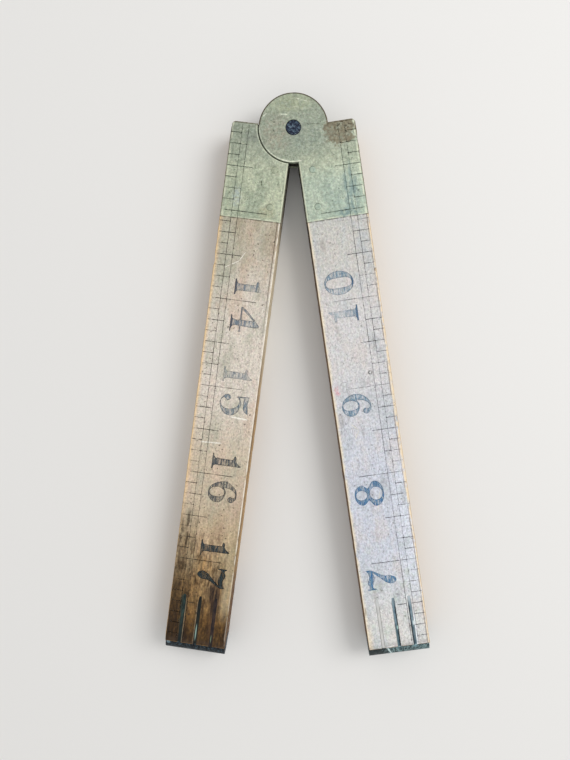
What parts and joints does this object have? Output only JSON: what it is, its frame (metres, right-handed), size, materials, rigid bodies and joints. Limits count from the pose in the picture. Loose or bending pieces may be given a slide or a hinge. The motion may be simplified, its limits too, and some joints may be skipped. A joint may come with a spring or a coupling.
{
  "type": "folding rule",
  "caption": "Folding wooden measuring rule with a brass square joint and brass-leaved knuckles, part opened like a pair of compasses with its outer sections folded beneath.",
  "frame": {"origin": "centre of the bounding box's underside, on the surface that the folded outer sections rest on", "axes": "+Y towards the main joint, +Z out of the numbered faces of the inner sections, +X towards the leg that carries the joint's discs"},
  "size_m": [0.078, 0.164, 0.0098],
  "materials": {
    "boxwood": "worn, hand-polished",
    "plate_brass": "dull, tarnished",
    "leaf_brass": "dark, verdigris",
    "rivet_brass": "dull, filed flush",
    "steel_pin": "dark, worn"
  },
  "bodies": {
    "right_inner": {"right_inner_stave": "boxwood", "right_front_plate": "plate_brass", "right_back_plate": "plate_brass", "right_plate_rivets": "rivet_brass", "pivot_pin": "steel_pin", "right_inner_leaf_1": "leaf_brass", "right_inner_leaf_2": "leaf_brass", "right_inner_leaf_3": "leaf_brass", "right_inner_leaf_rivet": "rivet_brass", "right_knuckle_pin": "steel_pin"},
    "left_inner": {"left_inner_stave": "boxwood", "left_front_plate": "plate_brass", "left_back_plate": "plate_brass", "left_joint_tongue": "plate_brass", "left_plate_rivets": "rivet_brass", "left_inner_leaf_1": "leaf_brass", "left_inner_leaf_2": "leaf_brass", "left_inner_leaf_3": "leaf_brass", "left_inner_leaf_rivet": "rivet_brass", "left_knuckle_pin": "steel_pin"},
    "right_outer": {"right_outer_stave": "boxwood", "right_outer_leaf_1": "leaf_brass", "right_outer_leaf_2": "leaf_brass", "right_outer_leaf_rivet": "rivet_brass", "right_tip": "plate_brass", "right_tip_rivet": "rivet_brass"},
    "left_outer": {"left_outer_stave": "boxwood", "left_outer_leaf_1": "leaf_brass", "left_outer_leaf_2": "leaf_brass", "left_outer_leaf_rivet": "rivet_brass", "left_tip": "plate_brass", "left_tip_rivet": "rivet_brass"}
  },
  "joints": [
    {"name": "main_joint", "type": "hinge", "parent": "right_inner", "child": "left_inner", "pos_m": [0, 0.07202, 0.0074], "axis": [0, 0, -1], "range_deg": [-15.9, 164.1]},
    {"name": "right_knuckle", "type": "hinge", "parent": "right_inner", "child": "right_outer", "pos_m": [0.02987, -0.07768, 0.0049], "axis": [-0.9904, -0.1383, 0], "range_deg": [0, 180]},
    {"name": "left_knuckle", "type": "hinge", "parent": "left_inner", "child": "left_outer", "pos_m": [-0.02987, -0.07768, 0.0049], "axis": [-0.9904, 0.1383, 0], "range_deg": [0, 180]}
  ]
}
